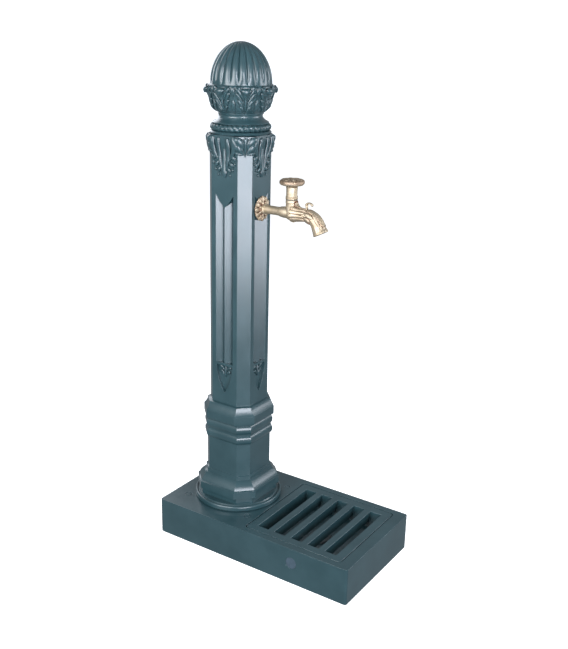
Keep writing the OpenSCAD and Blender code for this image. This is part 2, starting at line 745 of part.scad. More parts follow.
module inlet_coupling() {
    thread_l = 16;
    color(brass) at_column() translate([0, 0, inlet_z]) difference() {
        union() {
            cylinder(r = inlet_r, h = inlet_l);
            translate([0, 0, thread_l]) cylinder(r = inlet_r + 3.6, h = 12, $fn = 6);
            translate([0, 0, thread_l + 12]) cylinder(r = riser_r + 4, h = inlet_l - thread_l - 12);
        }
        translate([0, 0, -past]) cylinder(r = water_r, h = inlet_l);
        translate([0, 0, inlet_l - socket_depth]) cylinder(r = riser_r + fit, h = socket_depth + past);
    }
}

base_tray();
drain_grate();
waste_body();
waste_gasket();
waste_locknut();
outlet_plug();
outlet_seal();
anchor_caps();
flange_gasket();
base_flange();
column_bolts();
column_washers();
column();
finial_seal();
finial();
finial_stud();
finial_washer();
finial_nut();
tap_rosette();
tap_body();
tap_seal();
tap_backnut();
bonnet_washer();
bonnet();
gland_packing();
gland_nut();
spindle();
handwheel();
handwheel_screw();
valve_carrier();
valve_washer();
valve_nut();
riser_elbow();
riser_nut();
riser_pipe();
riser_spacers();
inlet_nut();
inlet_coupling();
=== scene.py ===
import json
import math
import bpy
import bmesh
from mathutils import Matrix, Vector


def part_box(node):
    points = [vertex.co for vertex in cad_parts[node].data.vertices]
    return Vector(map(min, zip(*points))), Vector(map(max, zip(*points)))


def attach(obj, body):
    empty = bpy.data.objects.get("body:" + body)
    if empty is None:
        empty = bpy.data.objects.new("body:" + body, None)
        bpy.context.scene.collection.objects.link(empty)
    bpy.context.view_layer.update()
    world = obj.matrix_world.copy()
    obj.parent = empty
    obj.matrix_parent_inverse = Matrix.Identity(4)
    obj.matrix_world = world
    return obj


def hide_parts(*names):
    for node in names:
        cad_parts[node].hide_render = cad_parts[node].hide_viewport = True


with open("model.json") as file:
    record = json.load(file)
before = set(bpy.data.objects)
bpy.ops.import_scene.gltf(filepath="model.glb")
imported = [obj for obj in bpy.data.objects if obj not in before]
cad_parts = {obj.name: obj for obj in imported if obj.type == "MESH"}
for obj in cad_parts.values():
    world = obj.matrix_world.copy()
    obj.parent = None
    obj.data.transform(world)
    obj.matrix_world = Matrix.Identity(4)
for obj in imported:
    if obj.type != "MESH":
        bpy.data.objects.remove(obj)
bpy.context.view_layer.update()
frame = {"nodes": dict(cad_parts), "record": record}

mm = 0.001
nodes = frame["nodes"]
print("frame loaded:", len(nodes), "nodes")


def centreOf(node):
    low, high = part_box(node)
    return (low + high) / 2


# Lines that everything hangs on, in millimetres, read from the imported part
columnX = centreOf("column").x / mm
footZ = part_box("column")[0].z / mm
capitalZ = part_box("column")[1].z / mm
tapX = centreOf("bonnet").x / mm
tapZ = centreOf("tap_rosette").z / mm
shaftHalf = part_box("tap_rosette")[0].x / mm - columnX


# Materials

# Shared by every surface: octaves of its noises, the stretch of each noise that is used, bump heights
noiseLook = {"patchDetail": 4, "grainDetail": 3, "waveDetail": 2, "toneFrom": 0.35, "toneTo": 0.65,
             "roughFrom": 0.3, "roughTo": 0.7, "waveHighMm": 0.4, "grainHighMm": 0.1}
mixFactor, mixFirst, mixSecond, mixResult = 0, 6, 7, 2     # the Mix node's colour sockets


def linear(hexColour):
    parts = [int(hexColour[i:i + 2], 16) / 255 for i in (1, 3, 5)]
    return [c / 12.92 if c <= 0.04045 else ((c + 0.055) / 1.055) ** 2.4 for c in parts] + [1]


def addNode(tree, kind, values={}, links={}, **settings):
    node = tree.nodes.new("ShaderNode" + kind)
    for name, value in settings.items():
        setattr(node, name, value)
    for name, value in values.items():
        node.inputs[name].default_value = value
    for name, source in links.items():
        tree.links.new(source, node.inputs[name])
    return node


def every(size):
    return 1 / (size * mm)    # noise scale for features this many millimetres apart


def castSurface(name, look):
    material = bpy.data.materials.new(name)
    material.use_nodes = True
    tree = material.node_tree
    tree.nodes.clear()
    place = addNode(tree, "TexCoord").outputs["Object"]
    drift, grain, wave = (
        addNode(tree, "TexNoise", {"Scale": every(look[name + "Mm"]), "Detail": noiseLook[name + "Detail"]},
                {"Vector": place}).outputs["Fac"] for name in ("patch", "grain", "wave"))
    spread = addNode(tree, "MapRange", {"From Min": noiseLook["toneFrom"], "From Max": noiseLook["toneTo"]},
                     {"Value": drift}).outputs["Result"]
    colour = addNode(tree, "Mix", {mixFirst: linear(look["colour"]), mixSecond: linear(look["colourFar"])},
                     {mixFactor: spread}, data_type="RGBA").outputs[mixResult]
    if "hollow" in look:
        # Painted shade, with brown grime on the brass: the foot of each relief, which the pieces mark as they
        # are made, takes the hollow colour
        foot = addNode(tree, "Attribute", attribute_name="foot").outputs["Fac"]
        colour = addNode(tree, "Mix", {mixSecond: linear(look["hollow"])},
                         {mixFactor: foot, mixFirst: colour}, data_type="RGBA").outputs[mixResult]
    rough = addNode(tree, "MapRange", {
        "From Min": noiseLook["roughFrom"], "From Max": noiseLook["roughTo"],
        "To Min": look["rough"][0], "To Max": look["rough"][1]}, {"Value": drift}).outputs["Result"]
    swell = addNode(tree, "Bump", {"Strength": look["waveBump"], "Distance": noiseLook["waveHighMm"] * mm},
                    {"Height": wave}).outputs["Normal"]
    bump = addNode(tree, "Bump", {"Strength": look["grainBump"], "Distance": noiseLook["grainHighMm"] * mm},
                   {"Height": grain, "Normal": swell}).outputs["Normal"]
    values = {"Metallic": look.get("metallic", 0), "Coat Weight": look.get("coat", 0),
              "Coat Roughness": look.get("coatRough", 0.1)}
    if not look.get("metallic"):
        values["IOR"] = look.get("ior", 1.5)
    shader = addNode(tree, "BsdfPrincipled", values,
                     {"Base Color": colour, "Roughness": rough, "Normal": bump})
    addNode(tree, "OutputMaterial", {}, {"Surface": shader.outputs["BSDF"]})
    return material


# Stoved green enamel over cast iron: glossy, with fine orange peel and the casting's slow waves. Its hollow
# colour is painted shade at the foot of each relief
greenEnamel = castSurface("greenEnamelOnCastIron", {
    "colour": "#213a3f", "colourFar": "#284146", "patchMm": 60, "grainMm": 2.4, "waveMm": 40,
    "rough": (0.3, 0.36), "waveBump": 0.15, "grainBump": 0.1, "coat": 0.4, "coatRough": 0.2,
    "hollow": "#1a2c31"})
# Cast brass, bead blasted and waxed: pale and satin. Its hollow colour is painted shade in the hollows,
# tinted brown as grime
castBrass = castSurface("castTapBrass", {
    "colour": "#c6b8a2", "colourFar": "#b3a48b", "patchMm": 14, "grainMm": 1.1, "waveMm": 9,
    "rough": (0.54, 0.64), "waveBump": 0.1, "grainBump": 0.12, "metallic": 1,
    "hollow": "#6e4636"})
# Turned brass fittings: smoother and yellower than the casting
turnedBrass = castSurface("turnedFittingBrass", {
    "colour": "#c9a25f", "colourFar": "#b78f50", "patchMm": 12, "grainMm": 0.8, "waveMm": 15,
    "rough": (0.22, 0.32), "waveBump": 0.05, "grainBump": 0.1, "metallic": 1})
# Hot-dip zinc on steel fixings: grey, softly mottled by the spangle
zincSteel = castSurface("hotDipZincOnSteel", {
    "colour": "#a9adb0", "colourFar": "#8f9498", "patchMm": 5, "grainMm": 1.5, "waveMm": 8,
    "rough": (0.38, 0.55), "waveBump": 0.1, "grainBump": 0.15, "metallic": 1})
# Pressed stainless steel of the waste fitting: cool and fairly bright
stainlessSteel = castSurface("pressedStainlessSteel", {
    "colour": "#6f7476", "colourFar": "#5f6466", "patchMm": 16, "grainMm": 0.7, "waveMm": 20,
    "rough": (0.42, 0.52), "waveBump": 0.05, "grainBump": 0.12, "metallic": 1})
# EPDM rubber, compression moulded: nearly black and dull
blackRubber = castSurface("mouldedEpdmRubber", {
    "colour": "#232526", "colourFar": "#2c2e2f", "patchMm": 9, "grainMm": 0.9, "waveMm": 12,
    "rough": (0.62, 0.78), "waveBump": 0.1, "grainBump": 0.3})
# Injection moulded polypropylene: satin with a slight cloudiness
greyPlastic = castSurface("mouldedPolypropylene", {
    "colour": "#3c4c57", "colourFar": "#35444e", "patchMm": 11, "grainMm": 0.8, "waveMm": 14,
    "rough": (0.36, 0.46), "waveBump": 0.05, "grainBump": 0.15, "ior": 1.49})
# Drawn copper tube, dulled by handling
copperTube = castSurface("drawnCopperTube", {
    "colour": "#b8734f", "colourFar": "#8e5a41", "patchMm": 18, "grainMm": 1, "waveMm": 30,
    "rough": (0.3, 0.45), "waveBump": 0.05, "grainBump": 0.1, "metallic": 1})
finishes = {"green_enamel": greenEnamel, "tap_brass": castBrass, "fitting_brass": turnedBrass,
            "zinc_steel": zincSteel, "drain_steel": stainlessSteel, "black_rubber": blackRubber,
            "grey_plastic": greyPlastic, "copper_pipe": copperTube}
slotOf = {part["node"]: part["material_slot"] for part in frame["record"]["subparts"]}
bodyOf = {node: body for body, held in frame["record"]["behaviour"]["bodies"].items() for node in held}
for node, cadPart in nodes.items():
    cadPart.data.materials.clear()
    cadPart.data.materials.append(finishes[slotOf[node]])
print("materials made:", len(finishes))


# Making pieces

sameSpot = 1e-6     # metres: points this near are one
sameFace = 0.6      # degrees: triangles this nearly flat are one face
roundFrom = 30      # degrees: edges sharper than this are rounded
roundSteps = 3


# Shading normals that follow the large faces, so that flat faces stay flat up to their rounded edges
def flatNormals(bm, crease):
    limit = math.cos(math.radians(crease))
    weighed = {face: face.normal * face.calc_area() for face in bm.faces}
    return [sum((weighed[other] for other in loop.vert.link_faces if other.normal.dot(face.normal) > limit),
                Vector((0, 0, 0))).normalized() for face in bm.faces for loop in face.loops]


def keep(name, bm, slotName, body, stands=(), crease=40, flat=False):
    bmesh.ops.recalc_face_normals(bm, faces=bm.faces)
    bm.normal_update()
    normals = flatNormals(bm, crease) if flat else []
    mesh = bpy.data.meshes.new(name)
    bm.to_mesh(mesh)
    bm.free()
    mesh.materials.append(finishes[slotName])
    mesh.polygons.foreach_set("use_smooth", [True] * len(mesh.polygons))
    if flat:
        mesh.normals_split_custom_set(normals)
    else:
        mesh.set_sharp_from_angle(angle=math.radians(crease))
    piece = bpy.data.objects.new(name, mesh)
    bpy.context.scene.collection.objects.link(piece)
    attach(piece, body)
    if stands:
        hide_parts(*stands)
    return piece


def mergedCopy(node):
    bm = bmesh.new()
    bm.from_mesh(nodes[node].data)
    bmesh.ops.remove_doubles(bm, verts=bm.verts, dist=sameSpot)
    bmesh.ops.dissolve_limit(bm, angle_limit=math.radians(sameFace), verts=bm.verts, edges=bm.edges)
    return bm


def roundEdges(bm, width, chosen=None):
    sharp = math.radians(roundFrom)
    edges = [e for e in bm.edges if len(e.link_faces) == 2 and e.calc_face_angle() > sharp
             and (chosen is None or chosen(e))]
    bmesh.ops.bevel(bm, geom=edges, offset=width * mm, offset_type="OFFSET", segments=roundSteps,
                    profile=0.5, affect="EDGES", material=-1, clamp_overlap=True)


# How much painted shade and grime each point of a piece holds, which its material reads
def shadeAndGrimeLayer(bm):
    return bm.verts.layers.float.get("foot") or bm.verts.layers.float.new("foot")


# A grid whose every point is sent to its place on the piece and given its painted shade and grime, then sewn
# at its seams and poles
def wrapGrid(bm, across, along, shape, foot=None):
    layer = shadeAndGrimeLayer(bm)
    made = bmesh.ops.create_grid(bm, x_segments=across, y_segments=along, size=0.5)["verts"]
    for point in made:
        u, v = point.co.x + 0.5, point.co.y + 0.5
        point[layer] = foot(u, v) if foot else 0
        point.co = Vector(shape(u, v)) * mm
    bmesh.ops.remove_doubles(bm, verts=made, dist=sameSpot)


# Spins a half section of (radius, height) points about Z, and then moves it to its place
def lathe(bm, section, steps, place=Matrix(), closed=False):
    points = [bm.verts.new((r * mm, 0, z * mm)) for r, z in section]
    edges = [bm.edges.new(pair) for pair in zip(points, points[1:])]
    if closed:
        edges.append(bm.edges.new((points[-1], points[0])))
    made = set(bm.verts)
    bmesh.ops.spin(bm, geom=points + edges, cent=(0, 0, 0), axis=(0, 0, 1), dvec=(0, 0, 0),
                   angle=2 * math.pi, steps=steps, use_merge=True, use_duplicate=False)
    spun = [v for v in bm.verts if v in points or v not in made]
    bmesh.ops.transform(bm, matrix=place, verts=spun, space=Matrix())
    bmesh.ops.remove_doubles(bm, verts=spun, dist=sameSpot)


# Puts painted shade and grime on the points that are chosen
def markShadeAndGrime(bm, amount, chosen):
    layer = shadeAndGrimeLayer(bm)
    for point in bm.verts:
        if chosen(point.co / mm):
            point[layer] = amount


# Smooth curve through the points, t from 0 to 1
def through(points, t):
    last = len(points) - 1
    t = min(max(t, 0), 1) * last
    i = min(int(t), last - 1)
    f = t - i
    p = [points[min(max(i + k, 0), last)] for k in (-1, 0, 1, 2)]
    return 0.5 * (2 * p[1] + (p[2] - p[0]) * f + (2 * p[0] - 5 * p[1] + 4 * p[2] - p[3]) * f * f
                  + (3 * p[1] - p[0] - 3 * p[2] + p[3]) * f ** 3)


# Plain castings keep their CAD shape, with edges rounded as a mould leaves them
castLook = {"radii": {"base_tray": 1.6, "drain_grate": 1.2, "base_flange": 0.6, "column": 0.8,
                      "outlet_plug": 0.5, "anchor_caps": 0.6},
            "crease": 32, "pocketLow": 270, "pocketHigh": 349, "pocketRadius": 2.2, "skin": 0.1}


# The pointed pockets in the column's faces have a broader, softer edge
def onPocket(edge):
    return all(castLook["pocketLow"] < point.co.z / mm - footZ < castLook["pocketHigh"]
               and max(abs(point.co.x / mm - columnX), abs(point.co.y / mm)) > shaftHalf - castLook["skin"]
               for point in edge.verts)


for node, width in castLook["radii"].items():
    bm = mergedCopy(node)
    if node == "column":
        roundEdges(bm, castLook["pocketRadius"], chosen=onPocket)
    roundEdges(bm, width)
    keep(node + "_cast", bm, slotOf[node], bodyOf[node], [node], crease=castLook["crease"], flat=True)
    print("rounded", node)


# Leaves are cast from fronds. A frond lies in mould space, where a point is (sideways, height, outwards), and
# its mould bends it onto the casting
frondLook = {"across": 10, "stepsPerPoint": 5, "lookAhead": 0.02, "thinUnder": 2, "shadeAndGrimeLift": 1.15,
             "shadeAndGrimeFall": 1.5}


# One tapering frond, round on its back, along a smooth curve through the points of its spine
def frond(bm, mould, spine, widths, rise, across=frondLook["across"], shadeAndGrime=1):
    spine = [Vector(p) for p in spine]
    wide = [Vector((w, 0, 0)) for w in widths]
    along = frondLook["stepsPerPoint"] * (len(spine) - 1) + 1
    near = frondLook["lookAhead"]

    def shape(u, v):
        here = through(spine, v)
        ahead = through(spine, v + near) - through(spine, v - near)
        aside = Vector((ahead.y, -ahead.x, 0)).normalized()
        up = aside.cross(ahead).normalized() if ahead.length else Vector((0, 0, 1))
        if up.z < 0:
            up = -up
        half = 0 if v in (0, 1) else max(through(wide, v).x, 0) / 2
        high = 0 if v in (0, 1) else rise * min(1, half / frondLook["thinUnder"])
        turn = 2 * math.pi * u
        return mould(here + aside * half * math.cos(turn) + up * high * math.sin(turn))

    # Painted shade and grime along the frond's lower edges, where it meets the casting, and none on its top
    def foot(u, v):
        bare = frondLook["shadeAndGrimeFall"] * math.sin(2 * math.pi * u)
        return shadeAndGrime * min(1, max(0, frondLook["shadeAndGrimeLift"] - bare))

    wrapGrid(bm, across, along, shape, foot)


# The fronds of a leaf, one row each, and again as their mirror image where flips has both signs
def fronds(bm, mould, rows, flips=(1,)):
    for flip in flips:
        for row in rows:
            frond(bm, mould, [(flip * x, y, z) for x, y, z in row["spine"]], row["widths"], row["rise"],
                  across=row.get("across", frondLook["across"]), shadeAndGrime=row.get("shadeAndGrime", 1))


bothSides = (-1, 1)

# Acorn finial: rope ring, waisted neck, leaf cup with curled tips, gadrooned dome
finialLook = {
    "foot": [(66.5, 1), (68.5, 3), (69.2, 4.6), (68.4, 6.2), (65.6, 7.4), (64, 8.2), (57, 9)],
    "neck": [(58, 23), (62.8, 23.6), (63.5, 25.2), (62, 26.8), (56, 30), (51.3, 34), (49.2, 38), (48.9, 41),
             (50.6, 43.2), (51.8, 45)],
    "cup": [(51, 46.6), (53.4, 48.5), (57.2, 51.4), (60.8, 56), (63.2, 62), (65.4, 69), (67.2, 77),
            (69.2, 84), (71, 90), (72.2, 97), (72.6, 102), (71.6, 105.4), (69, 107)],
    "hollow": [(58, 92), (54, 66), (43, 44), (42, 20), (55, 8), (55, 1)],
    "domeRadius": 69, "domeHeight": 89, "domeSteps": 26, "crownWall": 9, "innerWide": 0.88, "innerHigh": 0.9,
    # Ribs start this share up the dome, deepen over its first fifth and get shallow where it is narrow
    "ribs": 22, "ribSteps": 12, "ribDeep": 4.8, "ribStart": 0.012, "ribGrowth": 5, "ribNarrow": 45,
    "ribRound": 0.5, "skin": 2, "middle": 1, "crease": 45}
finialZ = capitalZ
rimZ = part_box("finial")[1].z / mm - finialLook["domeHeight"] - finialZ
onAxis = Matrix.Translation((columnX * mm, 0, finialZ * mm))
bm = bmesh.new()
# One closed shell from the foot to the crown and back down the hollow
quarter = math.pi / 2
dome = [(finialLook["domeRadius"] * math.cos(a), rimZ + finialLook["domeHeight"] * math.sin(a))
        for a in (quarter * k / finialLook["domeSteps"] for k in range(finialLook["domeSteps"] + 1))]
outside = finialLook["foot"] + finialLook["neck"] + finialLook["cup"] + dome
inside = [(0, dome[-1][1] - finialLook["crownWall"])] + [
    (r * finialLook["innerWide"], rimZ + (z - rimZ) * finialLook["innerHigh"])
    for r, z in reversed(dome[:-1])] + finialLook["hollow"]
lathe(bm, outside + inside, steps=finialLook["ribs"] * finialLook["ribSteps"], closed=True)
# Gadroons: grooves between the ribs, deepest where the dome is broad
for point in bm.verts:
    r, z = math.hypot(point.co.x, point.co.y) / mm, point.co.z / mm
    level = (z - rimZ) / finialLook["domeHeight"]
    edge = finialLook["domeRadius"] * math.sqrt(max(0, 1 - level * level)) if level > 0 else 0
    if level > finialLook["ribStart"] and r > max(edge - finialLook["skin"], finialLook["middle"]):
        wave = abs(math.cos(finialLook["ribs"] / 2 * math.atan2(point.co.y, point.co.x)))
        fade = min(1, finialLook["ribGrowth"] * level) * min(1, edge / finialLook["ribNarrow"])
        point.co.xy *= (r - finialLook["ribDeep"] * fade * (1 - wave ** finialLook["ribRound"])) / r
bmesh.ops.transform(bm, matrix=onAxis, verts=bm.verts)

# Rope ring round its foot
ropeLook = {"radius": 62.2, "height": 15.6, "thick": 6.4, "tall": 1.15, "strands": 36, "strandSteps": 8,
            "around": 16, "strandDeep": 2.4, "strandRound": 0.7, "slant": 2.4}


def ropeShape(u, v):
    turn, around = 2 * math.pi * u, 2 * math.pi * v
    lay = (ropeLook["strands"] * turn + ropeLook["slant"] * around) / 2
    bulge = abs(math.cos(lay)) ** ropeLook["strandRound"]
    thick = ropeLook["thick"] - ropeLook["strandDeep"] * (1 - bulge)
    r = ropeLook["radius"] + thick * math.cos(around)
    return (columnX + r * math.cos(turn), r * math.sin(turn),
            finialZ + ropeLook["height"] + ropeLook["tall"] * thick * math.sin(around))


wrapGrid(bm, ropeLook["strands"] * ropeLook["strandSteps"], ropeLook["around"], ropeShape)
keep("finial_cast", bm, "green_enamel", "fountain", ["finial"], crease=finialLook["crease"])
print("finial turned")

# Acanthus leaves on the cup, each with a tip that curls out under the rim, and buds between them
cupLook = {
    "leaves": 8, "meanRadius": 68, "crease": 60,
    "middle": [
        {"spine": [(0, 47, -1), (0, 60, 0.6), (0, 76, 1.2), (0, 90, 1.2)],
         "widths": (3, 5.5, 6.5, 7), "rise": 3},
        {"spine": [(0, 81, -1), (0, 90, 1), (0, 96, 3.6), (0, 94.5, 6), (0, 88, 5)],
         "widths": (14, 23, 23, 19, 12), "rise": 5.4, "across": 14}],
    # Where each blade starts and ends in height, how far out it reaches, and its width
    "blades": [(48, 64, 12, 5.5), (53, 77, 17, 6.5), (62, 91, 20.5, 7), (74, 102, 20, 7)],
    "curl": {"spine": [(9, 90, 0), (13, 98, 2), (15.5, 103, 3.4), (16.5, 102, 4.2)],
             "widths": (6, 9, 8, 4), "rise": 2.4},
    "buds": [
        {"spine": [(0, 46, -1), (0, 56, 0.8), (0, 68, 1.2), (0, 77, 0)],
         "widths": (3.5, 8, 9.5, 3), "rise": 2.2},
        {"spine": [(0, 82, -0.5), (0, 91, 1.3), (0, 99, 1.6), (0, 105, 0.2)],
         "widths": (3, 8, 9, 3), "rise": 2}]}


def cupRadius(z):
    wall = finialLook["cup"]
    for (r0, z0), (r1, z1) in zip(wall, wall[1:]):
        if z0 <= z <= z1:
            return r0 + (r1 - r0) * (z - z0) / (z1 - z0)
    return wall[0][0] if z < wall[0][1] else wall[-1][0]


def cupMould(angle):
    def bend(point):
        r = cupRadius(point.y) + point.z
        turn = angle + point.x / cupLook["meanRadius"]
        return (columnX + r * math.sin(turn), -r * math.cos(turn), finialZ + point.y)
    return bend


# A blade leaves the midrib and fans up and out to the leaf's edge
def blade(start, end, out, width):
    middle = start * 0.55 + end * 0.45 + 1.5
    spine = [(2.4, start, -0.6), (out * 0.5, middle - 1, 1.4), (out * 0.86, end - 3, 1.8), (out, end, 0)]
    return {"spine": spine, "widths": (3, width, width, 2), "rise": 2.6}


sides = [blade(*row) for row in cupLook["blades"]] + [cupLook["curl"]]
bm = bmesh.new()
for k in range(cupLook["leaves"]):
    mould = cupMould(2 * math.pi * k / cupLook["leaves"])
    fronds(bm, mould, cupLook["middle"])
    fronds(bm, mould, sides, bothSides)
    fronds(bm, cupMould(2 * math.pi * (k + 0.5) / cupLook["leaves"]), cupLook["buds"])
keep("finial_leaves", bm, "green_enamel", "fountain", crease=cupLook["crease"])
print("cup leaves cast")


# Capital: an acanthus leaf hangs down each face, and a palmette stands over each chamfer. Heights are given
# as drops below the capital's top, and rises as shares of the leaf's own rise
capitalLook = {
    "swell": [(44, 0), (34, 1), (24, 3), (15, 5), (7, 6), (0, 5.5)], "chamfer": 23, "fold": 4, "sunk": -1,
    "crease": 60,
    "leafRise": 3.6, "leafLift": 1.2,
    "leafMidrib": {"spine": [(0, 26, -2), (0, 44, 0.6), (0, 64, 1), (0, 82, 1.8), (0, 92, 0)],
                   "widths": (6, 9.5, 12, 15, 8), "rise": 0.8, "across": 14},
    # Two stems sweep down to the tip, then three lobes leave them
    "leafSides": [([(11, 3), (13.5, 20), (12, 40), (9, 60), (5, 78)], (9, 11, 11, 9, 4), 1.2),
                  ([(26.5, 2), (29.5, 15), (28, 29), (22, 42), (14, 54)], (11, 14, 13, 9, 4), 1.2),
                  ([(18, 40), (23.5, 45), (27.5, 48), (29, 53)], (6, 10, 11, 7), 1.1),
                  ([(13, 54), (18, 60), (21.5, 63), (22.5, 68)], (5, 9.5, 10.5, 6), 1),
                  ([(8, 66), (12, 72), (14.5, 75), (15.5, 80)], (4, 8.5, 9.5, 5.5), 0.9)],
    # Round beads under the lobes: sideways, drop, size
    "beads": [(29, 60, 7.5), (23, 74, 7), (15.5, 86, 6)], "beadRise": 0.6,
    "cornerRise": 3.4, "cornerLift": 0.2,
    "cornerStem": {"spine": [(0, 46, -2.5), (0, 30, 0), (0, 14, 0.2), (0, 2, -1)],
                   "widths": (3, 6, 8, 15), "rise": 1, "across": 12},
    "cornerGround": {"spine": [(14, 37, -1.5), (15, 27, 0.4), (17, 14, 0.4), (18, 3, -1.5)],
                     "widths": (14, 25, 25, 14), "riseMm": 2, "across": 18},
    # Two scrolling fronds, and the base line under them
    "cornerSides": [([(5, 29), (8.5, 17), (14, 9.5), (21, 7), (26, 12)], (5, 13, 15, 12, 6), 1.1),
                    ([(5, 37), (11, 29), (18, 23), (24, 23), (27, 29)], (5, 13, 15, 11, 5), 1.2),
                    ([(3, 38.5), (10, 37.5), (18, 36), (26, 35)], (4, 6.5, 7, 4), 1)]}
cornerReach = (2 * shaftHalf - capitalLook["chamfer"]) / math.sqrt(2)


def capitalSwell(height):
    down = capitalZ - height
    for (d0, s0), (d1, s1) in zip(capitalLook["swell"], capitalLook["swell"][1:]):
        if d1 <= down <= d0:
            return s0 + (s1 - s0) * (d0 - down) / (d0 - d1)
    return 0


# Mould space for a side of the column: sideways along it, height above the ground, outwards from its skin
def sideMould(turns, reach, swell=capitalSwell):
    turn = Matrix.Rotation(math.radians(45 * turns), 3, "Z")

    def bend(point):
        placed = turn @ Vector((point.x, -(reach + swell(point.y) + point.z), 0))
        return (columnX + placed.x, placed.y, point.y)
    return bend


# The same over a chamfer, folded round its edges onto the faces either side
def cornerMould(turns):
    turn = Matrix.Rotation(math.radians(45 * turns), 3, "Z")
    half = capitalLook["chamfer"] / math.sqrt(2)
    reach = capitalLook["fold"]

    def bend(point):
        way = math.copysign(1, point.x)
        over = abs(point.x) - half
        fold = math.radians(45) * min(1, max(0, (over + reach) / (2 * reach)))
        past = max(0, over) * math.sqrt(0.5)
        out = capitalSwell(point.y) + point.z
        aside = way * (min(abs(point.x), half) + past + out * math.sin(fold))
        placed = turn @ Vector((aside, -cornerReach + past - out * math.cos(fold), 0))
        return (columnX + placed.x, placed.y, point.y)
    return bend


# Rows that are given as drops below a top, turned into fronds
def hung(row, top, rise):
    return {**row, "spine": [(x, top - drop, z) for x, drop, z in row["spine"]],
            "rise": row["riseMm"] if "riseMm" in row else row["rise"] * rise}


# A flat path of (sideways, drop) points, lifted off the casting, with its ends sunk or as given
def laid(path, widths, share, lift, first, last):
    heights = [first] + [lift] * (len(path) - 2) + [last]
    return {"spine": [(x, drop, z) for (x, drop), z in zip(path, heights)], "widths": widths, "rise": share}


def bead(x, drop, size):
    return {"spine": [(x, drop - size / 2, 0), (x, drop, 1), (x, drop + size / 2, 0)],
            "widths": (2, size, 2), "rise": capitalLook["beadRise"]}


sunk = capitalLook["sunk"]
leafSides = [laid(*row, capitalLook["leafLift"], sunk, sunk) for row in capitalLook["leafSides"]]
leafSides += [bead(*row) for row in capitalLook["beads"]]
cornerSides = [capitalLook["cornerGround"]]
cornerSides += [laid(*row, capitalLook["cornerLift"], sunk, sunk) for row in capitalLook["cornerSides"]]
bm = bmesh.new()
for face in range(4):
    mould = sideMould(2 * face, shaftHalf)
    rise = capitalLook["leafRise"]
    fronds(bm, mould, [hung(capitalLook["leafMidrib"], capitalZ, rise)])
    fronds(bm, mould, [hung(row, capitalZ, rise) for row in leafSides], bothSides)
for corner in range(4):
    mould = cornerMould(2 * corner + 1)
    rise = capitalLook["cornerRise"]
    fronds(bm, mould, [hung(capitalLook["cornerStem"], capitalZ, rise)])
    fronds(bm, mould, [hung(row, capitalZ, rise) for row in cornerSides], bothSides)
keep("capital_leaves", bm, "green_enamel", "fountain", crease=capitalLook["crease"])
print("capital cast")

# Small leaf that lies in the pointed pocket of each face
pocketLook = {
    "sill": 350, "lintel": 6, "deep": 7, "rise": 3, "lift": 1.2, "crease": 60,
    "midrib": {"spine": [(0, 2, 0), (0, 12, 1.2), (0, 22, 1.4), (0, 31, 0)],
               "widths": (4, 6, 6, 2), "rise": 1},
    "sides": [([(3, 25), (7, 19), (11, 15), (13, 19)], (2.5, 6, 6.5, 3), 1),
              ([(3, 13), (8, 7), (13.5, 4), (16, 7)], (2.5, 6, 6.5, 3), 1)]}
pocketTop = footZ + pocketLook["sill"] - pocketLook["lintel"]
lift = pocketLook["lift"]
pocketSides = [laid(*row, lift, 0, lift) for row in pocketLook["sides"]]
bm = bmesh.new()
for face in range(4):
    mould = sideMould(2 * face, shaftHalf - pocketLook["deep"], lambda height: 0)
    fronds(bm, mould, [hung(pocketLook["midrib"], pocketTop, pocketLook["rise"])])
    fronds(bm, mould, [hung(row, pocketTop, pocketLook["rise"]) for row in pocketSides], bothSides)
keep("pocket_leaves", bm, "green_enamel", "fountain", crease=pocketLook["crease"])
print("pocket leaves cast")


# Tap: rosette, leaf-clad casting, turned bonnet, petalled handwheel and its screw. Outlines are (radius,
# height) about the tap's upright axis, or (radius, distance) along the pipe
tapLook = {
    # From the wall, then from the tap's axis, with a stop ring at each end
    "pipeAtWall": [(9.2, -40), (9.8, -40), (9.8, 7), (11.6, 8), (12, 10), (11.6, 12), (9.9, 13)],
    "pipeAtBarrel": [(9.8, -32), (10.6, -30), (11.8, -26), (12.6, -20), (12.9, -12), (12, -2), (9.2, -2)],
    # A small drop closes it below, and the room inside is where the valve rises
    "barrel": [(0, -19.5), (1.8, -19), (2.4, -17.4), (1.9, -16.2), (3.4, -15.6), (7.5, -14.2), (11, -11.4),
               (12.9, -6.5), (13.2, 0), (13, 14), (12.7, 22), (13.1, 23.4), (13.7, 24.6), (13.2, 26),
               (12.9, 27), (13.2, 29.9), (10.1, 29.9), (10.1, 18), (9, 17.9), (9, 1.4), (0, 1.4)],
    "chamber": 10.4, "steps": 48, "crease": 50}
# Spout: a waist straight from the barrel, a bend and a flared mouth, turned back inside as a real bore
spoutLook = {
    "waist": 36, "bend": 38, "bendTurn": math.radians(62), "nozzle": 18,
    # Share of its length along the middle line, and radius
    "stations": [(0, 0), (0, 4), (0, 8), (0, 11.6), (0.12, 12.4), (0.3, 13), (0.4, 12), (0.47, 11.8),
                 (0.56, 12.6), (0.68, 13.5), (0.8, 14.7), (0.9, 15.9), (0.96, 17), (0.985, 17.6), (1, 17.4),
                 (1.006, 16), (1, 13.6), (0.96, 11.6), (0.88, 9), (0.7, 6), (0.62, 5.5), (0.6, 0)],
    "around": 73, "stepsPerStation": 3,
    # Flutes run from this share of the length to this station
    "flutes": 12, "fluteDeep": 0.7, "fluteFrom": 0.42, "lastFluted": 12}
tapAxis = Matrix.Translation((tapX * mm, 0, tapZ * mm))
alongX = Matrix.Rotation(math.radians(90), 4, "Y")
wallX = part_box("tap_rosette")[0].x / mm
spoutLength = spoutLook["waist"] + spoutLook["bend"] * spoutLook["bendTurn"] + spoutLook["nozzle"]


# How far along X the hidden ends of pipe and spout stay off the tap's axis, to leave the valve its room
def chamberWall(y):
    return math.sqrt(max(0, tapLook["chamber"] ** 2 - y * y))


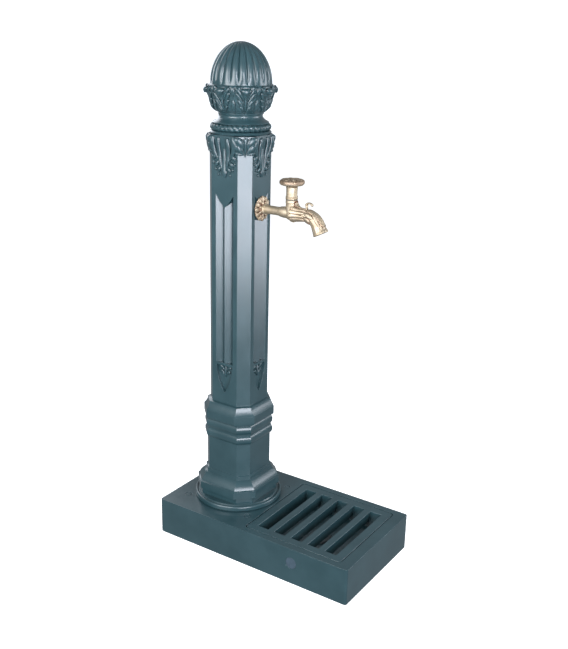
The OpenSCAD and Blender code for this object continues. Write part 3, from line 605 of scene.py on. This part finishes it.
# A point on the spout's middle line, and how far it has turned down by then
def spoutPoint(t):
    run, waist, bend = t * spoutLength, spoutLook["waist"], spoutLook["bend"]
    if run < waist:
        return Vector((run, 0, 0)), 0
    turn = min((run - waist) / bend, spoutLook["bendTurn"])
    past = run - waist - bend * turn
    return Vector((waist + bend * math.sin(turn) + past * math.cos(turn), 0,
                   bend * math.cos(turn) - bend - past * math.sin(turn))), turn


# Angle 0 is the back of the spout, which is its upper side
def onSpout(t, angle, radius):
    centre, turn = spoutPoint(t)
    outward = Vector((math.sin(turn) * math.cos(angle), math.sin(angle), math.cos(turn) * math.cos(angle)))
    place = centre + outward * radius
    place.x = max(place.x, chamberWall(place.y))
    return place + Vector((tapX, 0, tapZ))


def spoutShape(u, v):
    stations = spoutLook["stations"]
    k = v * (len(stations) - 1)
    i = min(int(k), len(stations) - 2)
    (t0, r0), (t1, r1) = stations[i], stations[i + 1]
    t = t0 + (t1 - t0) * (k - i)
    radius = r0 + (r1 - r0) * (k - i)
    if k < spoutLook["lastFluted"] and t > spoutLook["fluteFrom"]:
        radius -= spoutLook["fluteDeep"] * (1 - abs(math.cos(spoutLook["flutes"] * math.pi * u)))
    return onSpout(t, 2 * math.pi * u, max(radius, 0))


bm = bmesh.new()
pipe = [(r, wallX - tapX + x) for r, x in tapLook["pipeAtWall"]] + tapLook["pipeAtBarrel"]
lathe(bm, pipe, steps=tapLook["steps"], place=tapAxis @ alongX, closed=True)
for point in bm.verts:
    point.co.x = min(point.co.x, tapX * mm - chamberWall(point.co.y / mm) * mm)
lathe(bm, tapLook["barrel"], steps=tapLook["steps"], place=tapAxis)
along = spoutLook["stepsPerStation"] * (len(spoutLook["stations"]) - 1) + 1
wrapGrid(bm, spoutLook["around"], along, spoutShape)
keep("tap_casting", bm, "tap_brass", "fountain", ["tap_body"], crease=tapLook["crease"])

# Leaves on the spout, in mould space along it: sideways, hundredths of its length, outwards from base
leafLook = {
    "base": 12, "crease": 60,
    # Sheath of fluted leaves that opens towards the barrel, wider on the spout's back
    "sheath": 11, "onBack": (0, 1, 10), "leanBack": 6.5, "lean": 5,
    "tip": {"spine": [(0, 30, 0), (0, 20, 4.5), (0, 14.5, 9), (0, 13.2, 14.5), (0, 15.5, 17)],
            "widths": (4, 9, 10, 7, 3), "rise": 2.2},
    "collar": 8, "collarBase": 12.2,
    "collarLeaf": {"spine": [(0, 42, 0), (0, 48, 1.6), (0, 56, 1.9), (0, 64, 0.6)],
                   "widths": (4, 8, 9.5, 3), "rise": 2},
    # Long back leaf whose lip lifts off the nozzle, with a vein either side
    "backBase": 12.4,
    "back": {"spine": [(0, 50, 0), (0, 60, 2.2), (0, 72, 2.6), (0, 82, 2.8), (0, 89, 4.6)],
             "widths": (8, 14, 17, 15, 8), "rise": 2.3, "across": 14},
    "vein": {"spine": [(3, 52, 0.5), (8, 62, 1.8), (10.5, 73, 1.8), (11, 83, 3)],
             "widths": (4, 7, 7.5, 3), "rise": 2},
    "horn": {"spine": [(0, 40, -1), (0, 41, 5), (0, 40, 10), (0, 41, 14), (0, 45, 16), (0, 48.5, 14.6),
                       (0, 48.5, 11.6)],
             "widths": (9, 6, 4.8, 4.2, 4, 3.8, 3), "rise": 2, "across": 12, "shadeAndGrime": 0}}


def spoutMould(angle, base):
    def curl(point):
        return onSpout(point.y / 100, angle + point.x / base, base + point.z)
    return curl


def sheathLeaf(lean):
    return {"spine": [(0, 4, lean + 0.6), (0, 9, lean - 0.5), (0, 19, 2.4), (0, 32, 0.8), (0, 43, -0.4)],
            "widths": (5, 9.5, 8.5, 7, 3), "rise": 2.6}


bm = bmesh.new()
for k in range(leafLook["sheath"]):
    mould = spoutMould(2 * math.pi * k / leafLook["sheath"], leafLook["base"])
    fronds(bm, mould, [sheathLeaf(leafLook["leanBack"] if k in leafLook["onBack"] else leafLook["lean"])])
fronds(bm, spoutMould(0, leafLook["base"]), [leafLook["tip"]])
for k in range(leafLook["collar"]):
    mould = spoutMould(2 * math.pi * (k + 0.5) / leafLook["collar"], leafLook["collarBase"])
    fronds(bm, mould, [leafLook["collarLeaf"]])
mould = spoutMould(0, leafLook["backBase"])
fronds(bm, mould, [leafLook["back"]])
fronds(bm, mould, [leafLook["vein"]], bothSides)
fronds(bm, mould, [leafLook["horn"]])
keep("tap_leaves", bm, "tap_brass", "fountain", crease=leafLook["crease"])
print("tap cast")

# Rosette of overlapping petals round the pipe, with a smaller ring of them inside
rosetteLook = {
    "outline": [(9.9, 0), (25.5, 0), (26.6, 1), (26.2, 2.4), (22, 3.6), (17, 4.4), (15.6, 5.6), (15.2, 7.2),
                (13.8, 8.6), (11.4, 9), (9.9, 8.2)],
    "steps": 64, "crease": 60, "shadeAndGrime": 0.75, "shadeAndGrimeFrom": 1.5, "petals": 12, "inner": 8,
    "petal": {"spine": [(0, 13.5, 4.2), (0, 18, 4.6), (0, 23.5, 3.6), (0, 28.1, 1.6)],
              "widths": (4, 8, 11.5, 6), "rise": 2.3},
    "between": {"spine": [(0, 20, 2), (0, 24.5, 2.4), (0, 27.6, 1.4)], "widths": (3, 5, 2), "rise": 1.6},
    "innerPetal": {"spine": [(0, 11.5, 8), (0, 14.5, 8.2), (0, 18.5, 6.2)],
                   "widths": (4, 7.5, 3), "rise": 1.8}}
onWall = Matrix.Translation((wallX * mm, 0, tapZ * mm)) @ alongX


# Mould space on a disc: sideways, distance from its middle, height off its face
def discMould(place, turns):
    turn = Matrix.Rotation(2 * math.pi * turns, 3, "Z")

    def lay(point):
        return (place @ (turn @ point * mm)) / mm
    return lay


bm = bmesh.new()
lathe(bm, rosetteLook["outline"], steps=rosetteLook["steps"], place=onWall, closed=True)
# Painted shade and brown grime over the rosette's ground under its petals, except next to the wall
markShadeAndGrime(bm, rosetteLook["shadeAndGrime"], lambda point: point.x > wallX + rosetteLook["shadeAndGrimeFrom"])
for k in range(rosetteLook["petals"]):
    fronds(bm, discMould(onWall, k / rosetteLook["petals"]), [rosetteLook["petal"]])
    fronds(bm, discMould(onWall, (k + 0.5) / rosetteLook["petals"]), [rosetteLook["between"]])
for k in range(rosetteLook["inner"]):
    fronds(bm, discMould(onWall, (k + 0.5) / rosetteLook["inner"]), [rosetteLook["innerPetal"]])
keep("tap_rosette_petals", bm, "tap_brass", "fountain", ["tap_rosette"], crease=rosetteLook["crease"])

# Bonnet: a turned sleeve with two rings and a fine groove, its outline given from the underside of the rings
bonnetLook = {
    "sleeve": 10, "thread": 7.6, "ringsUp": 13.5, "steps": 64, "crease": 30,
    "outline": [(13, 0), (13.7, 0.7), (13.7, 2.2), (12.9, 3), (13.5, 3.8), (13.5, 5.2), (12.6, 6.2),
                (12.4, 12), (12.5, 20), (12.6, 24), (13.1, 24.8), (13.1, 26.6), (12.3, 27.5), (8, 27.5),
                (8, 17.5), (5.1, 17.5), (5.1, 4), (7.6, 4)]}
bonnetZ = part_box("bonnet")[0].z / mm - tapZ
ringZ = bonnetZ + bonnetLook["ringsUp"]
bm = bmesh.new()
lathe(bm, [(bonnetLook["sleeve"], bonnetZ), (bonnetLook["sleeve"], ringZ)]
      + [(r, ringZ + z) for r, z in bonnetLook["outline"]] + [(bonnetLook["thread"], bonnetZ)],
      steps=bonnetLook["steps"], place=tapAxis, closed=True)
keep("bonnet_turned", bm, "tap_brass", "fountain", ["bonnet"], crease=bonnetLook["crease"])

# Handwheel: a shallow dome of raised petals with a scalloped rim
wheelLook = {
    "outline": [(4.05, 1), (8, 1), (10, 0.6), (20, 1), (24.6, 1.1), (27.4, 3.2), (28.4, 6.8), (27.4, 10.6),
                (24.8, 12.5), (22, 12.4), (19.5, 12.5), (14, 13.4), (9, 13.9), (6.4, 13.9), (5.1, 13.4),
                (5.1, 10.2), (4.05, 10.2)],
    "petals": 8, "petalSteps": 12, "scallop": 1.3, "rimFrom": 19, "rimWide": 6, "crease": 50,
    "shadeAndGrime": 0.45, "shadeAndGrimeFrom": 5,
    "petal": {"spine": [(0, 7, 13), (0, 12, 13.5), (0, 18, 12.8), (0, 24, 11.8)],
              "widths": (3, 7.5, 11.5, 7), "rise": 1.5},
    "between": {"spine": [(0, 17, 12.4), (0, 21, 12.4), (0, 24.6, 11.6)], "widths": (2, 4.2, 2), "rise": 1.2}}
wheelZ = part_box("handwheel")[0].z / mm - tapZ
onWheel = tapAxis @ Matrix.Translation((0, 0, wheelZ * mm))
lobes = wheelLook["petals"]
bm = bmesh.new()
lathe(bm, wheelLook["outline"], steps=lobes * wheelLook["petalSteps"], closed=True)
for point in bm.verts:
    r = math.hypot(point.co.x, point.co.y) / mm
    rim = min(1, (r - wheelLook["rimFrom"]) / wheelLook["rimWide"])
    if rim > 0:
        wave = 1 - abs(math.cos(lobes / 2 * math.atan2(point.co.y, point.co.x)))
        point.co.xy *= 1 - wheelLook["scallop"] * wave * rim / r
bmesh.ops.transform(bm, matrix=onWheel, verts=bm.verts)
# Painted shade and brown grime over the upper part of the wheel, the ground under its petals
markShadeAndGrime(bm, wheelLook["shadeAndGrime"], lambda point: point.z > tapZ + wheelZ + wheelLook["shadeAndGrimeFrom"])
for k in range(lobes):
    fronds(bm, discMould(onWheel, k / lobes), [wheelLook["petal"]])
    fronds(bm, discMould(onWheel, (k + 0.5) / lobes), [wheelLook["between"]])
keep("handwheel_petals", bm, "tap_brass", "tap_wheel", ["handwheel"], crease=wheelLook["crease"])

# Domed screw head on a short shank, its outline given from the underside of the head
screwLook = {"outline": [(0, -6), (1.5, -6), (1.5, 0), (4.7, 0), (4.9, 1), (4.6, 3), (3.8, 4.9), (2.4, 6.1),
                         (0.9, 6.5), (0, 6.5)],
             "steps": 48, "crease": 40}
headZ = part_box("handwheel_screw")[1].z / mm - tapZ - screwLook["outline"][-1][1]
bm = bmesh.new()
lathe(bm, [(r, headZ + z) for r, z in screwLook["outline"]], steps=screwLook["steps"], place=tapAxis)
keep("handwheel_screw_head", bm, "tap_brass", "tap_wheel", ["handwheel_screw"], crease=screwLook["crease"])
print("tap finished")


# Floor, light and camera

stage = {"floorHalf": 6, "floorDown": 0.5, "floor": "#ffffff", "floorRough": 0.9, "floorGlow": 0.72,
         "sky": "#eef4fb", "skyStrength": 0.36, "skySeen": 1.4}
bm = bmesh.new()
bmesh.ops.create_grid(bm, x_segments=1, y_segments=1, size=stage["floorHalf"])
bmesh.ops.translate(bm, verts=bm.verts, vec=(0, 0, -stage["floorDown"] * mm))
mesh = bpy.data.meshes.new("floor")
bm.to_mesh(mesh)
bm.free()
floor = bpy.data.objects.new("floor", mesh)
bpy.context.scene.collection.objects.link(floor)
paper = bpy.data.materials.new("paleStudioPaper")
paper.use_nodes = True
shade = paper.node_tree.nodes["Principled BSDF"]
shade.inputs["Base Color"].default_value = linear(stage["floor"])
shade.inputs["Roughness"].default_value = stage["floorRough"]
shade.inputs["Emission Color"].default_value = linear(stage["floor"])
shade.inputs["Emission Strength"].default_value = stage["floorGlow"]
mesh.materials.append(paper)
floor.visible_diffuse = floor.visible_glossy = False    # it glows for the eye and doesn't wash out the enamel

world = bpy.data.worlds.new("studio")
bpy.context.scene.world = world
world.use_nodes = True
background = world.node_tree.nodes["Background"]
background.inputs["Color"].default_value = linear(stage["sky"])
seen = addNode(world.node_tree, "LightPath").outputs["Is Camera Ray"]
glow = addNode(world.node_tree, "MapRange", {"To Min": stage["skyStrength"], "To Max": stage["skySeen"]},
               {"Value": seen})
world.node_tree.links.new(glow.outputs["Result"], background.inputs["Strength"])
bpy.context.scene.view_settings.view_transform = "Standard"

# Soft boxes, each with its place and target in metres, its width and height, its watts and its tint
lights = {
    "keyRight": {"at": (1.55, -1.3, 0.62), "to": (-0.1, 0, 0.62), "size": (1, 1), "watts": 46,
                 "tint": "#f1f4ff"},
    "acornRight": {"at": (1.5, -1.25, 1.65), "to": (-0.136, 0, 1.08), "size": (0.35, 0.5), "watts": 0.9,
                   "tint": "#f1f4ff", "spread": 36},
    "softFront": {"at": (-0.2, -1.9, 1.3), "to": (-0.1, 0, 0.6), "size": (1.4, 1.4), "watts": 55,
                  "tint": "#f8faff"},
    "backRight": {"at": (1.7, 1.3, 1.2), "to": (-0.1, 0, 0.6), "size": (1.2, 1.2), "watts": 30,
                  "tint": "#f2f6ff"},
    "backLeft": {"at": (-1.9, 0.8, 1.5), "to": (-0.1, 0, 0.6), "size": (1.2, 1.2), "watts": 16,
                 "tint": "#f2f6ff"}}
for name, look in lights.items():
    lamp = bpy.data.lights.new(name, "AREA")
    lamp.shape = "RECTANGLE"
    lamp.size, lamp.size_y = look["size"]
    lamp.spread = math.radians(look.get("spread", 180))
    lamp.energy = look["watts"]
    lamp.color = linear(look["tint"])[:3]
    facing = (Vector(look["to"]) - Vector(look["at"])).to_track_quat("-Z", "Y").to_matrix().to_4x4()
    holder = bpy.data.objects.new(name, lamp)
    holder.matrix_world = Matrix.Translation(look["at"]) @ facing
    bpy.context.scene.collection.objects.link(holder)
print("lights placed")

# The camera turns about Z, tips down and rolls, in degrees, and stands at eye, in metres
view = {"eye": (1.0835, -1.6580, 1.2318), "turn": 33.376, "down": 18.66, "roll": 1.30, "lens": 50.49}
turn, down, roll = (math.radians(view[k]) for k in ("turn", "down", "roll"))
ahead = Vector((-math.sin(turn) * math.cos(down), math.cos(turn) * math.cos(down), -math.sin(down)))
level = Vector((math.cos(turn), math.sin(turn), 0))
upright = level.cross(ahead)
side = level * math.cos(roll) + upright * math.sin(roll)
upward = upright * math.cos(roll) - level * math.sin(roll)
camera = bpy.data.objects.new("camera", bpy.data.cameras.new("camera"))
camera.data.lens = view["lens"]
camera.matrix_world = Matrix.Translation(view["eye"]) @ Matrix((side, upward, -ahead)).transposed().to_4x4()
bpy.context.scene.collection.objects.link(camera)
bpy.context.scene.camera = camera

print("scene done")
